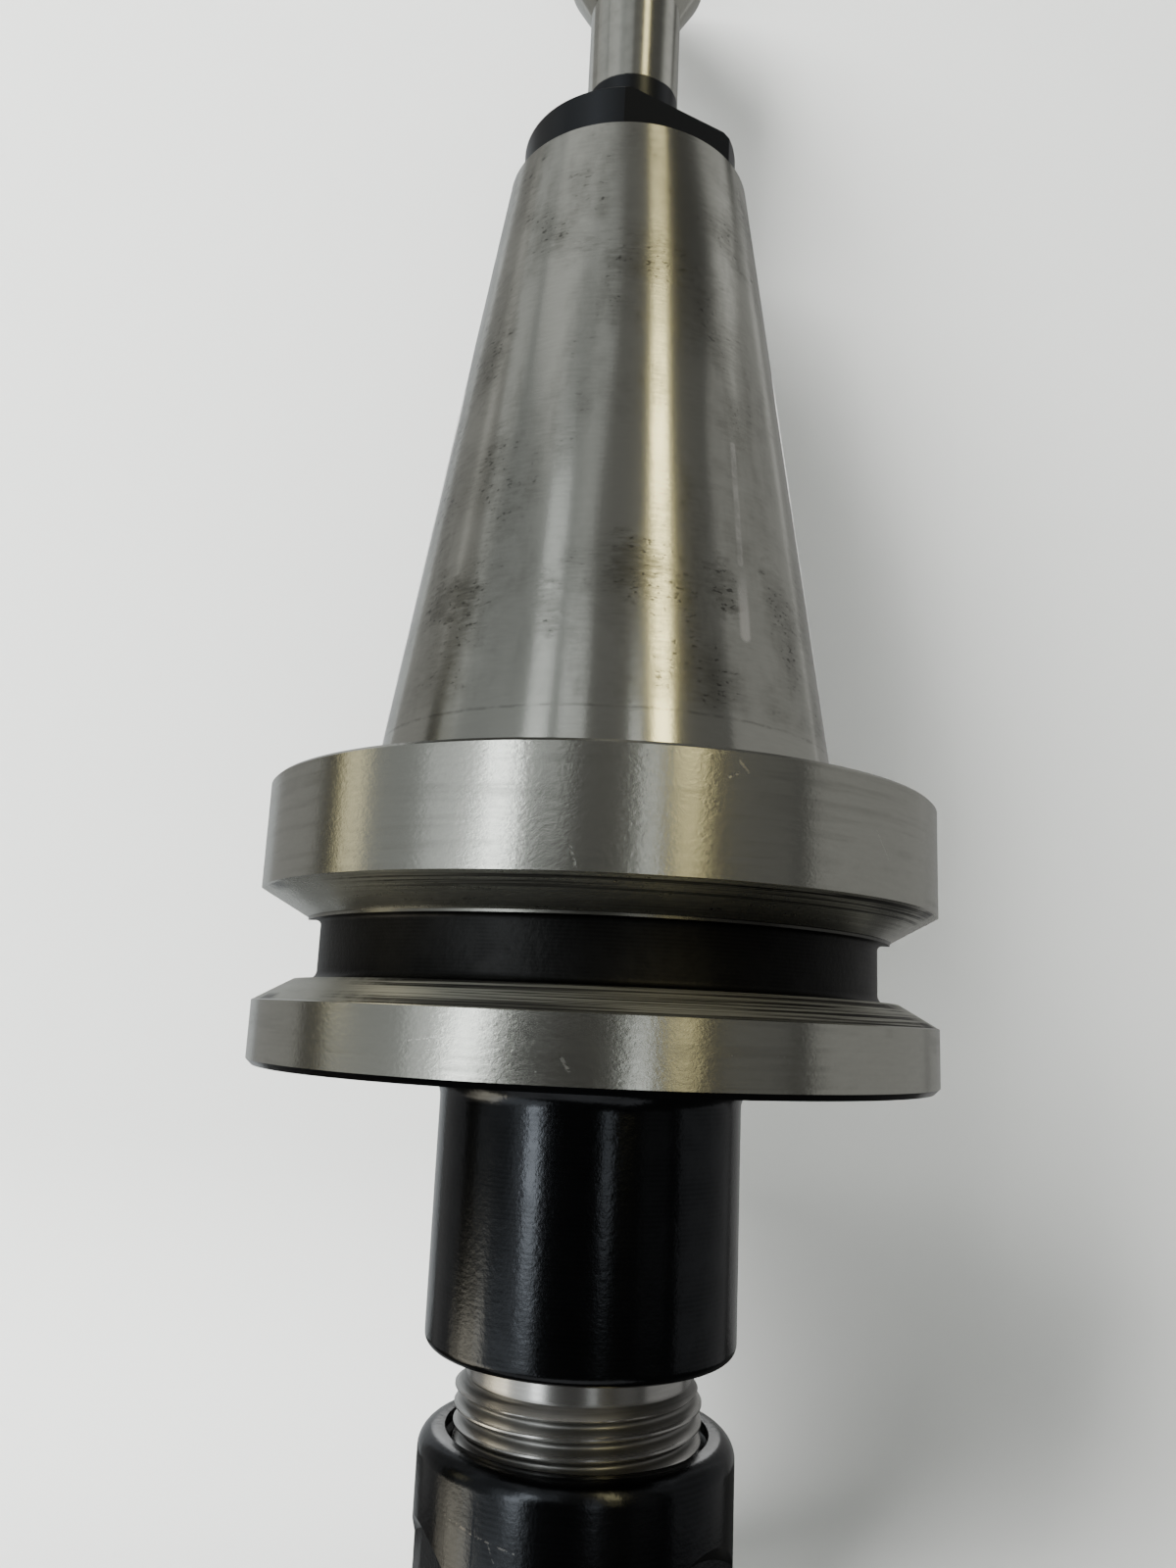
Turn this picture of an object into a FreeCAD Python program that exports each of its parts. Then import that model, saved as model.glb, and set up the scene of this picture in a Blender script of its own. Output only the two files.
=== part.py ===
import FreeCAD, Part
import math
import os

# Collet chuck holder with a steep taper shank: turned holder body, pull stud, collet and clamping nut.
# Millimetres. +Z runs along the tool axis towards the pull stud, and the nose points down.
# The origin is on the axis at the gauge line of the taper.

# Taper shank
GAUGE_D = 44.45
TAPER_PER_LENGTH = 7.0 / 24.0
TAPER_LENGTH = 65.4
TAPER_END_CHAMFER = 0.4

# Flange with its gripper groove
FLANGE_D = 63.0
FLANGE_FACE_SETBACK = 2.0
FLANGE_WIDTH = 25.0
FLANGE_REAR_CHAMFER = 0.25
FLANGE_FRONT_CHAMFER = 0.5
GROOVE_CENTRE = 16.6
GROOVE_MOUTH = 9.8
GROOVE_WALL_ANGLE = 30.0
GROOVE_ROOT_D = 52.4
GROOVE_ROOT_WIDTH = 5.15
GROOVE_ROOT_SHIFT = 0.33
GROOVE_LAND = 0.22
GROOVE_UPPER_CORNER = 0.4
GROOVE_LOWER_CORNER = 0.75

# Drive slots, one on +X and one on -X
SLOT_WIDTH = 16.1
SLOT_FLOOR_FROM_AXIS = 22.6
SLOT_EDGE_CHAMFER = 0.3

# Neck and nose. The nose's fine thread and the nut's are plain here, at the diameter of their crests
NECK_D = 28.0
NECK_FILLET = 2.5
NECK_END_ROUND = 1.0
SHOULDER_TO_TIGHT_NUT = 1.9
THREAD_D = 22.0
RELIEF_DEPTH = 0.95
RELIEF_LENGTH = 2.4
NOSE_CHAMFER = 1.0
THROUGH_BORE_D = 10.0

# Clamping nut
GAUGE_LENGTH = 70.0
NUT_D = 28.0
NUT_LENGTH = 17.5
NUT_ACROSS_FLATS = 25.0
NUT_FLAT_LENGTH = 9.7
NUT_FLAT_ARCH_RADIUS = 12.0
NUT_FLAT_RUNOUT_ANGLE = 45.0
NUT_FLAT_ANGLE = 20.3
NUT_REAR_ROUND = 1.7
NUT_FRONT_CHAMFER = 1.1
NUT_COUNTERBORE_D = 23.4
NUT_COUNTERBORE_DEPTH = 1.0
NUT_BORE_DEPTH = 11.9
NUT_LIP_THICKNESS = 1.5
NUT_LIP_OFFSET = 0.85
NUT_CHAMBER_DEPTH = 0.5
NUT_MOUTH_CHAMFER = 0.3
UNSCREWED = 4.9

# Collet
COLLET_D = 17.0
COLLET_LENGTH = 27.5
COLLET_BORE_D = 8.0
COLLET_TAPER_ANGLE = 8.0
COLLET_FACE_D = 13.0
COLLET_FACE_CHAMFER = 0.3
COLLET_FRONT_ANGLE = 30.0
COLLET_RIM_D = 16.0
COLLET_RIM_WIDTH = 0.3
COLLET_GROOVE_D = 13.8
COLLET_GROOVE_WIDTH = 2.3
COLLET_LAND = 0.7
COLLET_SLITS = 8
COLLET_SLIT_WIDTH = 0.8
COLLET_SLIT_BRIDGE = 5.5
COLLET_RECESS = 0.3

# Pull stud
STUD_ABOVE_TAPER = 35.0
STUD_HEAD_D = 15.0
STUD_HEAD_EDGE = 28.0
STUD_HEAD_CHAMFER = 1.0
STUD_HEAD_ANGLE = 30.0
STUD_NECK_D = 10.0
STUD_NECK_FILLET = 1.5
STUD_COLLAR_D = 23.0
STUD_COLLAR_WIDTH = 5.1
STUD_COLLAR_CHAMFER = 0.4
STUD_ACROSS_FLATS = 19.0
STUD_FLAT_ANGLE = -61.5
STUD_PILOT_D = 17.0
STUD_PILOT_LENGTH = 5.0
STUD_THREAD_D = 16.0
STUD_BELOW_TAPER = 25.0
STUD_THREAD_CHAMFER = 1.0
STUD_HOLE_SPARE = 3.0
STUD_PILOT_SPARE = 1.5
DRILL_POINT_ANGLE = 59.0

# Clearances between pieces, measured on the radius
THREAD_CLEARANCE = 0.06
SEAT_CLEARANCE = 0.03
LIP_CLEARANCE = 0.2
PILOT_CLEARANCE = 0.02
STUD_THREAD_CLEARANCE = 0.05
CAVITY_SPARE = 1.0
NOSE_SETBACK = 0.2


def slope(angle):
    """Change of radius for each millimetre along the axis of a cone with this half angle."""
    return math.tan(math.radians(angle))


def across(width, offset):
    """Height above the centre of a circle of this diameter, at this offset from its middle line."""
    return math.sqrt((width / 2) ** 2 - offset ** 2)


# Levels along the axis that several pieces share
FLANGE_REAR = -FLANGE_FACE_SETBACK
FLANGE_FRONT = FLANGE_REAR - FLANGE_WIDTH
TIGHT_NUT_REAR = NUT_LENGTH - GAUGE_LENGTH
NECK_END = TIGHT_NUT_REAR + SHOULDER_TO_TIGHT_NUT
NUT_REAR = TIGHT_NUT_REAR - UNSCREWED
NUT_FRONT = NUT_REAR - NUT_LENGTH
COLLET_FRONT = NUT_FRONT + COLLET_RECESS
COLLET_CONE_LENGTH = (COLLET_RIM_D - COLLET_FACE_D) / 2 / slope(COLLET_FRONT_ANGLE)
COLLET_GROOVE_START = COLLET_FACE_CHAMFER + COLLET_CONE_LENGTH + COLLET_RIM_WIDTH
COLLET_SEAT_START = COLLET_GROOVE_START + COLLET_GROOVE_WIDTH + COLLET_LAND
TIGHT_SEAT = COLLET_FRONT + UNSCREWED + COLLET_SEAT_START
NOSE_END = TIGHT_SEAT + NOSE_SETBACK
CAVITY_END = COLLET_FRONT + UNSCREWED + COLLET_LENGTH + CAVITY_SPARE


def taper_radius(height):
    """Radius of the shank at this height above the gauge line."""
    return (GAUGE_D - height * TAPER_PER_LENGTH) / 2


def cavity_radius(height):
    """Radius of the tapered seat that the collet is drawn into."""
    return COLLET_D / 2 + SEAT_CLEARANCE - (height - TIGHT_SEAT) * slope(COLLET_TAPER_ANGLE)


def point(radius, height):
    """Point of a section, in the plane that is spun about the axis."""
    return FreeCAD.Vector(radius, 0, height)


def fillet(centre, start, end):
    """Arc round a centre from one section point to another; all are (radius, height) pairs."""
    size = math.hypot(start[0] - centre[0], start[1] - centre[1])
    middle = ((start[0] + end[0]) / 2 - centre[0], (start[1] + end[1]) / 2 - centre[1])
    reach = size / math.hypot(*middle)
    return (centre[0] + middle[0] * reach, centre[1] + middle[1] * reach) + tuple(end)


def turned(section):
    """Solid of revolution about Z. A section point of four values is an arc: its middle and its end."""
    edges = []
    here = point(*section[0])
    for step in section[1:] + [section[0]]:
        end = point(*step[-2:])
        if len(step) == 4:
            edges.append(Part.Arc(here, point(*step[:2]), end).toShape())
        elif here.distanceToPoint(end) > 1e-6:
            edges.append(Part.LineSegment(here, end).toShape())
        here = end
    face = Part.Face(Part.Wire(edges))
    return face.revolve(FreeCAD.Vector(0, 0, 0), FreeCAD.Vector(0, 0, 1), 360)


def gripper_groove():
    """Section of the V groove, from upper to lower edge: two walls, a narrow land and a deeper root."""
    edge = FLANGE_D / 2
    root = GROOVE_ROOT_D / 2
    upper_edge = -GROOVE_CENTRE + GROOVE_MOUTH / 2
    lower_edge = -GROOVE_CENTRE - GROOVE_MOUTH / 2
    root_top = -GROOVE_CENTRE - GROOVE_ROOT_SHIFT + GROOVE_ROOT_WIDTH / 2
    root_bottom = root_top - GROOVE_ROOT_WIDTH
    land_top = root_top + GROOVE_LAND
    upper_ledge = edge - (upper_edge - land_top) / slope(GROOVE_WALL_ANGLE)
    lower_ledge = edge - (root_bottom - lower_edge) / slope(GROOVE_WALL_ANGLE)
    upper_in, upper_down = root + GROOVE_UPPER_CORNER, root_top - GROOVE_UPPER_CORNER
    lower_in, lower_up = root + GROOVE_LOWER_CORNER, root_bottom + GROOVE_LOWER_CORNER
    return [
        (edge, upper_edge),
        (upper_ledge, land_top),
        (upper_ledge, root_top),
        (upper_in, root_top),
        fillet((upper_in, upper_down), (upper_in, root_top), (root, upper_down)),
        (root, lower_up),
        fillet((lower_in, lower_up), (root, lower_up), (lower_in, root_bottom)),
        (lower_ledge, root_bottom),
        (edge, lower_edge),
    ]


def holder_blank():
    """Turned body: shank, flange, neck and nose, with stud hole, through bore and collet seat."""
    end_radius = taper_radius(TAPER_LENGTH)
    chamfer = TAPER_END_CHAMFER
    flange = FLANGE_D / 2
    neck = NECK_D / 2
    thread = THREAD_D / 2
    relief = thread - RELIEF_DEPTH
    relief_end = NECK_END - RELIEF_LENGTH
    bore = THROUGH_BORE_D / 2
    pilot = STUD_PILOT_D / 2 + PILOT_CLEARANCE
    tapped = STUD_THREAD_D / 2 + STUD_THREAD_CLEARANCE
    pilot_end = TAPER_LENGTH - STUD_PILOT_LENGTH - STUD_PILOT_SPARE
    tapped_end = TAPER_LENGTH - STUD_BELOW_TAPER - STUD_HOLE_SPARE
    drill_end = tapped_end - (tapped - bore) / slope(DRILL_POINT_ANGLE)
    return turned(
        [
            (pilot + chamfer, TAPER_LENGTH),
            (end_radius - chamfer, TAPER_LENGTH),
            (taper_radius(TAPER_LENGTH - chamfer), TAPER_LENGTH - chamfer),
            (taper_radius(FLANGE_REAR), FLANGE_REAR),
            (flange - FLANGE_REAR_CHAMFER, FLANGE_REAR),
            (flange, FLANGE_REAR - FLANGE_REAR_CHAMFER),
        ]
        + gripper_groove()
        + [
            (flange, FLANGE_FRONT + FLANGE_FRONT_CHAMFER),
            (flange - FLANGE_FRONT_CHAMFER, FLANGE_FRONT),
            (neck + NECK_FILLET, FLANGE_FRONT),
            fillet(
                (neck + NECK_FILLET, FLANGE_FRONT - NECK_FILLET),
                (neck + NECK_FILLET, FLANGE_FRONT),
                (neck, FLANGE_FRONT - NECK_FILLET),
            ),
            (neck, NECK_END + NECK_END_ROUND),
            fillet(
                (neck - NECK_END_ROUND, NECK_END + NECK_END_ROUND),
                (neck, NECK_END + NECK_END_ROUND),
                (neck - NECK_END_ROUND, NECK_END),
            ),
            (relief, NECK_END),
            (relief, relief_end),
            (thread, relief_end - RELIEF_DEPTH),
            (thread, NOSE_END + NOSE_CHAMFER),
            (thread - NOSE_CHAMFER, NOSE_END),
            (cavity_radius(NOSE_END), NOSE_END),
            (cavity_radius(CAVITY_END), CAVITY_END),
            (bore, CAVITY_END),
            (bore, drill_end),
            (tapped, tapped_end),
            (tapped, pilot_end),
            (pilot, pilot_end),
            (pilot, TAPER_LENGTH - chamfer),
        ]
    )


def drive_slot():
    """Cutter for the drive slot on +X: parallel walls that flare at the rim to take off the sharp edges."""
    half = SLOT_WIDTH / 2
    over = FLANGE_D / 2 + SLOT_WIDTH
    rim = across(FLANGE_D, half) - SLOT_EDGE_CHAMFER
    flare = half + over - rim
    side = [
        (SLOT_FLOOR_FROM_AXIS, half),
        (rim, half),
        (over, flare),
    ]
    outline = side + [(x, -y) for x, y in reversed(side)]
    corners = [FreeCAD.Vector(x, y, FLANGE_FRONT - 1) for x, y in outline]
    face = Part.Face(Part.makePolygon(corners + corners[:1]))
    return face.extrude(FreeCAD.Vector(0, 0, FLANGE_WIDTH + 2))


def turned_about_axis(shape, angle):
    """Copy of a shape, turned about the tool axis."""
    copy = shape.copy()
    copy.rotate(FreeCAD.Vector(0, 0, 0), FreeCAD.Vector(0, 0, 1), angle)
    return copy


def holder_body():
    """Holder: one turned and ground piece with two drive slots milled through its flange."""
    slot = drive_slot()
    return holder_blank().cut([slot, turned_about_axis(slot, 180)])


def stud_flat():
    """Cutter for one wrench flat on the collar of the pull stud, on +X."""
    depth = STUD_COLLAR_D / 2
    height = STUD_COLLAR_WIDTH + STUD_NECK_FILLET
    corner = FreeCAD.Vector(STUD_ACROSS_FLATS / 2, -depth, TAPER_LENGTH)
    return Part.makeBox(depth, 2 * depth, height, corner)


def pull_stud():
    """Pull stud: conical gripping head, neck, collar with two wrench flats, pilot and threaded shank."""
    head = STUD_HEAD_D / 2
    neck = STUD_NECK_D / 2
    collar = STUD_COLLAR_D / 2
    pilot = STUD_PILOT_D / 2
    shank = STUD_THREAD_D / 2
    top = TAPER_LENGTH + STUD_ABOVE_TAPER
    head_edge = TAPER_LENGTH + STUD_HEAD_EDGE
    collar_top = TAPER_LENGTH + STUD_COLLAR_WIDTH
    bottom = TAPER_LENGTH - STUD_BELOW_TAPER
    foot = neck + STUD_NECK_FILLET
    fillet_top = collar_top + STUD_NECK_FILLET
    body = turned(
        [
            (0, top),
            (head - STUD_HEAD_CHAMFER, top),
            (head, top - STUD_HEAD_CHAMFER),
            (head, head_edge),
            (neck, head_edge - (head - neck) / slope(STUD_HEAD_ANGLE)),
            (neck, fillet_top),
            fillet((foot, fillet_top), (neck, fillet_top), (foot, collar_top)),
            (collar - STUD_COLLAR_CHAMFER, collar_top),
            (collar, collar_top - STUD_COLLAR_CHAMFER),
            (collar, TAPER_LENGTH + STUD_COLLAR_CHAMFER),
            (collar - STUD_COLLAR_CHAMFER, TAPER_LENGTH),
            (pilot, TAPER_LENGTH),
            (pilot, TAPER_LENGTH - STUD_PILOT_LENGTH),
            (shank, TAPER_LENGTH - STUD_PILOT_LENGTH),
            (shank, bottom + STUD_THREAD_CHAMFER),
            (shank - STUD_THREAD_CHAMFER, bottom),
            (0, bottom),
        ]
    )
    flat = stud_flat()
    return body.cut([turned_about_axis(flat, STUD_FLAT_ANGLE + half_turn) for half_turn in (0, 180)])


def nut_blank():
    """Turned nut: threaded bore, lip for the collet's groove, chamber and cone that presses the collet."""
    outer = NUT_D / 2
    bore = THREAD_D / 2 + THREAD_CLEARANCE
    counterbore = NUT_COUNTERBORE_D / 2
    counterbore_end = NUT_REAR - NUT_COUNTERBORE_DEPTH
    lip_rear = NUT_REAR - NUT_BORE_DEPTH
    lip_front = lip_rear - NUT_LIP_THICKNESS
    lip = COLLET_GROOVE_D / 2
    chamber = COLLET_RIM_D / 2 + 3 * LIP_CLEARANCE
    chamber_end = lip_front - NUT_CHAMBER_DEPTH
    gap = SEAT_CLEARANCE / math.cos(math.radians(COLLET_FRONT_ANGLE))
    face = COLLET_FACE_D / 2
    cone_end = COLLET_FRONT + COLLET_FACE_CHAMFER
    cone_top = face + gap + (chamber_end - cone_end) * slope(COLLET_FRONT_ANGLE)
    return turned(
        [
            (counterbore, NUT_REAR),
            (counterbore, counterbore_end),
            (bore, counterbore_end - (counterbore - bore)),
            (bore, lip_rear),
            (lip, lip_rear),
            (lip, lip_front),
            (chamber, lip_front),
            (chamber, chamber_end),
            (cone_top, chamber_end),
            (face + gap, cone_end),
            (face + gap, NUT_FRONT + NUT_MOUTH_CHAMFER),
            (face + gap + NUT_MOUTH_CHAMFER, NUT_FRONT),
            (outer - NUT_FRONT_CHAMFER, NUT_FRONT),
            (outer, NUT_FRONT + NUT_FRONT_CHAMFER),
            (outer, NUT_REAR - NUT_REAR_ROUND),
            fillet(
                (outer - NUT_REAR_ROUND, NUT_REAR - NUT_REAR_ROUND),
                (outer, NUT_REAR - NUT_REAR_ROUND),
                (outer - NUT_REAR_ROUND, NUT_REAR),
            ),
        ]
    )


def nut_flat():
    """Cutter for one wrench flat on +X: a shallow cone, which leaves an arched, sloping run-out."""
    depth = (NUT_D - NUT_ACROSS_FLATS) / 2
    centre = FreeCAD.Vector(NUT_ACROSS_FLATS / 2, 0, NUT_FRONT + NUT_FLAT_LENGTH - NUT_FLAT_ARCH_RADIUS)
    reach = 2 * depth
    widest = NUT_FLAT_ARCH_RADIUS + reach * slope(NUT_FLAT_RUNOUT_ANGLE)
    return Part.makeCone(NUT_FLAT_ARCH_RADIUS, widest, reach, centre, FreeCAD.Vector(1, 0, 0))


def nut_lip_bore():
    """Cutter for the lip's bore, off centre, so a tilted collet snaps in and one side pulls it out."""
    radius = COLLET_GROOVE_D / 2 + LIP_CLEARANCE + NUT_LIP_OFFSET
    base = FreeCAD.Vector(0, -NUT_LIP_OFFSET, NUT_REAR - NUT_BORE_DEPTH - NUT_LIP_THICKNESS)
    return Part.makeCylinder(radius, NUT_LIP_THICKNESS, base)


def clamping_nut():
    """Clamping nut: six wrench flats on a round nut, and an off-centre lip that holds the collet."""
    flat = nut_flat()
    flats = [turned_about_axis(flat, NUT_FLAT_ANGLE + side * 60) for side in range(6)]
    return nut_blank().cut(flats + [nut_lip_bore()])


def collet_blank():
    """Turned collet: front cone, rim, groove for the nut's lip, land and the long seating taper."""
    face = COLLET_FACE_D / 2
    rim = COLLET_RIM_D / 2
    groove = COLLET_GROOVE_D / 2
    widest = COLLET_D / 2
    bore = COLLET_BORE_D / 2
    rear = COLLET_FRONT + COLLET_LENGTH
    groove_front = COLLET_FRONT + COLLET_GROOVE_START
    groove_rear = groove_front + COLLET_GROOVE_WIDTH
    seat = COLLET_FRONT + COLLET_SEAT_START
    rear_radius = widest - (rear - seat) * slope(COLLET_TAPER_ANGLE)
    edge = COLLET_FACE_CHAMFER
    return turned(
        [
            (bore + edge, COLLET_FRONT),
            (face - edge, COLLET_FRONT),
            (face, COLLET_FRONT + edge),
            (rim, groove_front - COLLET_RIM_WIDTH),
            (rim, groove_front),
            (groove, groove_front),
            (groove, groove_rear),
            (widest - edge, groove_rear),
            (widest, groove_rear + edge),
            (widest, seat),
            (rear_radius + edge * slope(COLLET_TAPER_ANGLE), rear - edge),
            (rear_radius - edge, rear),
            (bore + edge, rear),
            (bore, rear - edge),
            (bore, COLLET_FRONT + edge),
        ]
    )


def collet_slit(angle, low, high):
    """Cutter for two opposite slits through the collet's wall, between two heights."""
    reach = COLLET_D
    corner = FreeCAD.Vector(-reach, -COLLET_SLIT_WIDTH / 2, low)
    return turned_about_axis(Part.makeBox(2 * reach, COLLET_SLIT_WIDTH, high - low, corner), angle)


def collet():
    """Spring collet: slits run in turn from its front and from its rear, so the bore closes evenly."""
    rear = COLLET_FRONT + COLLET_LENGTH
    seat = COLLET_FRONT + COLLET_SEAT_START
    step = 360.0 / COLLET_SLITS
    slits = []
    for turn in range(COLLET_SLITS // 2):
        slits.append(collet_slit(turn * step, COLLET_FRONT - 1, rear - COLLET_SLIT_BRIDGE))
        slits.append(collet_slit((turn + 0.5) * step, seat + COLLET_SLIT_WIDTH, rear + 1))
    return collet_blank().cut(slits)


PIECES = {
    "holder_body": holder_body,
    "pull_stud": pull_stud,
    "collet": collet,
    "clamping_nut": clamping_nut,
}

os.makedirs("parts", exist_ok=True)
for name, build in PIECES.items():
    solids = build().Solids
    if len(solids) != 1:
        raise ValueError("%s came out as %d solids" % (name, len(solids)))
    solids[0].exportStep("parts/%s.step" % name)
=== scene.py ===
import math

import bmesh
import bpy
from bpy.props import FloatProperty, FloatVectorProperty, IntProperty, PointerProperty
from mathutils import Matrix, Vector


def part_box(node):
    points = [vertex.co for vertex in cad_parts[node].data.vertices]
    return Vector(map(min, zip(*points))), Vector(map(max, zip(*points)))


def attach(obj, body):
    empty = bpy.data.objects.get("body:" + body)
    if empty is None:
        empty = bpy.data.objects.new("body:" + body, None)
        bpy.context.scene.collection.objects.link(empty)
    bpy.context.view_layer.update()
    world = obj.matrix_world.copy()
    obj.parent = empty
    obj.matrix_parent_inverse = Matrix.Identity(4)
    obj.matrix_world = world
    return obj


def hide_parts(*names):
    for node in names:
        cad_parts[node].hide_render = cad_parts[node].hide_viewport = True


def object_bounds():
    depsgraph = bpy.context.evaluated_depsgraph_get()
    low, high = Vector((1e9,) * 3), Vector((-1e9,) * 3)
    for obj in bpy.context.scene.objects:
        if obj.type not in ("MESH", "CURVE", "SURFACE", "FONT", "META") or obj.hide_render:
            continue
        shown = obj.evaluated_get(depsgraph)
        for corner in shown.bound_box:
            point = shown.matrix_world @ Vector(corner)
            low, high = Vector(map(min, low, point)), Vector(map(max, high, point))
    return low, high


bl_info = {
    "name": "Collet chuck holder",
    "version": (1, 0, 0),
    "blender": (4, 5, 0),
    "location": "View3D > Sidebar > Holder",
    "description": "Dresses a steep taper collet chuck holder with its nut, collet and pull stud",
    "category": "Object",
}

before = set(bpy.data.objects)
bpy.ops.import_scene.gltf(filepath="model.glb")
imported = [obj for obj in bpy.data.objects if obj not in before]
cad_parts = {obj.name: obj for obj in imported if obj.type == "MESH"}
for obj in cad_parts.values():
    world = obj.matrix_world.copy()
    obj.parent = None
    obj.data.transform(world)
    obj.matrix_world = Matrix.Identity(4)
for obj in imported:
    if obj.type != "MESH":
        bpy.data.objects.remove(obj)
CAD_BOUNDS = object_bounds()
MM = 0.001
FULL_TURN = 2 * math.pi


# Sizes and colours

def length(name, description, millimetres):
    """Property for a length, given in millimetres and kept in metres."""
    metres = millimetres * MM
    return FloatProperty(name=name, description=description, default=metres, unit="LENGTH", precision=5)


def angle(name, description, degrees):
    """Property for an angle, given in degrees and kept in radians."""
    radians = math.radians(degrees)
    return FloatProperty(name=name, description=description, default=radians, unit="ROTATION")


def colour(name, description, red, green, blue):
    """Property for a linear colour."""
    return FloatVectorProperty(
        name=name, description=description, default=(red, green, blue), size=3, subtype="COLOR", min=0, max=1
    )


class HolderSizes(bpy.types.PropertyGroup):
    """Sizes of the turned and ground holder body."""

    gauge_diameter: length("Gauge diameter", "Diameter of the shank at the gauge line", 44.45)
    taper: FloatProperty(name="Taper", description="Change of diameter per length", default=7 / 24)
    end_chamfer: length("End chamfer", "Edge break at the shank's small end", 0.4)
    flange_setback: length("Flange setback", "From the gauge line to the flange's rear face", 2.0)
    flange_width: length("Flange width", "Width of the flange along the axis", 25.0)
    rear_chamfer: length("Rear chamfer", "Edge break at the flange's rear face", 0.25)
    front_chamfer: length("Front chamfer", "Edge break at the flange's front face", 0.5)
    groove_centre: length("Groove centre", "From the gauge line to the middle of the groove", 16.6)
    groove_mouth: length("Groove mouth", "Width of the groove at the rim", 9.8)
    groove_wall: angle("Groove wall", "Slope of the groove's walls from the radial plane", 30)
    root_diameter: length("Root diameter", "Diameter at the groove's root", 52.4)
    root_width: length("Root width", "Width of the deeper root", 5.15)
    root_shift: length("Root shift", "How far the root lies towards the nose from the middle", 0.33)
    groove_land: length("Groove land", "Width of the narrow land between the upper wall and the root", 0.22)
    upper_corner: length("Upper corner", "Radius in the root's upper corner", 0.4)
    lower_corner: length("Lower corner", "Radius in the root's lower corner", 0.75)
    slot_width: length("Slot width", "Width of the two drive slots", 16.1)
    slot_floor: length("Slot floor", "From the axis to the floor of a drive slot", 22.6)
    slot_chamfer: length("Slot chamfer", "Edge break at the slots' rims", 0.3)
    neck_diameter: length("Neck diameter", "Diameter of the black neck", 28.0)
    neck_end: length("Neck end", "From the gauge line to the neck's shoulder", 50.6)
    neck_fillet: length("Neck fillet", "Radius between the neck and the flange", 2.5)
    neck_round: length("Neck round", "Radius at the neck's shoulder", 1.0)
    relief_length: length("Relief length", "Length of the plain relief behind the thread", 2.4)
    thread_diameter: length("Thread diameter", "Diameter over the nose's thread", 22.0)
    thread_pitch: length("Thread pitch", "Pitch of the nose's thread", 1.5)
    thread_depth: length("Thread depth", "Depth of the nose's thread", 0.87)
    relief_depth: length("Relief depth", "Depth of the relief behind the thread", 0.95)
    nose_chamfer: length("Nose chamfer", "Chamfer at the end of the nose", 1.0)
    crest_height: length("Crest height", "Height of a crest of the thread on +X", -53.275)
    bore_diameter: length("Bore diameter", "Diameter of the passage", 10.0)
    seat_diameter: length("Seat diameter", "Mouth of the collet's seat", 17.0)
    seat_slope: angle("Seat slope", "Half angle of the collet's seat", 8)
    seat_end: length("Seat end", "From the gauge line to the seat's inner end", 41.2)
    tapped_diameter: length("Tapped diameter", "Hole for the pull stud's thread", 16.1)
    tapped_end: length("Tapped end", "Height of the bottom of the pull stud's hole", 37.4)
    pilot_diameter: length("Pilot diameter", "Hole for the pull stud's pilot", 17.04)
    pilot_depth: length("Pilot depth", "Depth of the pilot's hole", 6.5)


class StudSizes(bpy.types.PropertyGroup):
    """Sizes of the pull stud."""

    head_diameter: length("Head diameter", "Diameter of the gripping head", 15.0)
    head_edge: length("Head edge", "From the collar's seat to the wide end of the head's cone", 28.0)
    head_slope: angle("Head slope", "Angle of the head's cone from the axis", 30)
    head_chamfer: length("Head chamfer", "Edge break at the top of the head", 1.0)
    neck_diameter: length("Neck diameter", "Diameter of the stud's neck", 10.0)
    neck_fillet: length("Neck fillet", "Radius between neck and collar", 1.5)
    collar_width: length("Collar width", "Thickness of the collar", 5.1)
    collar_chamfer: length("Collar chamfer", "Edge break of the collar", 0.4)
    across_flats: length("Across flats", "Distance over the wrench flats", 19.0)
    flat_angle: angle("Flat angle", "Direction that one flat faces", -61.5)
    pilot_diameter: length("Pilot diameter", "Diameter of the pilot under the collar", 17.0)
    pilot_length: length("Pilot length", "Length of the pilot", 5.0)
    shank_diameter: length("Shank diameter", "Diameter over the stud's thread", 16.0)


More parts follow.
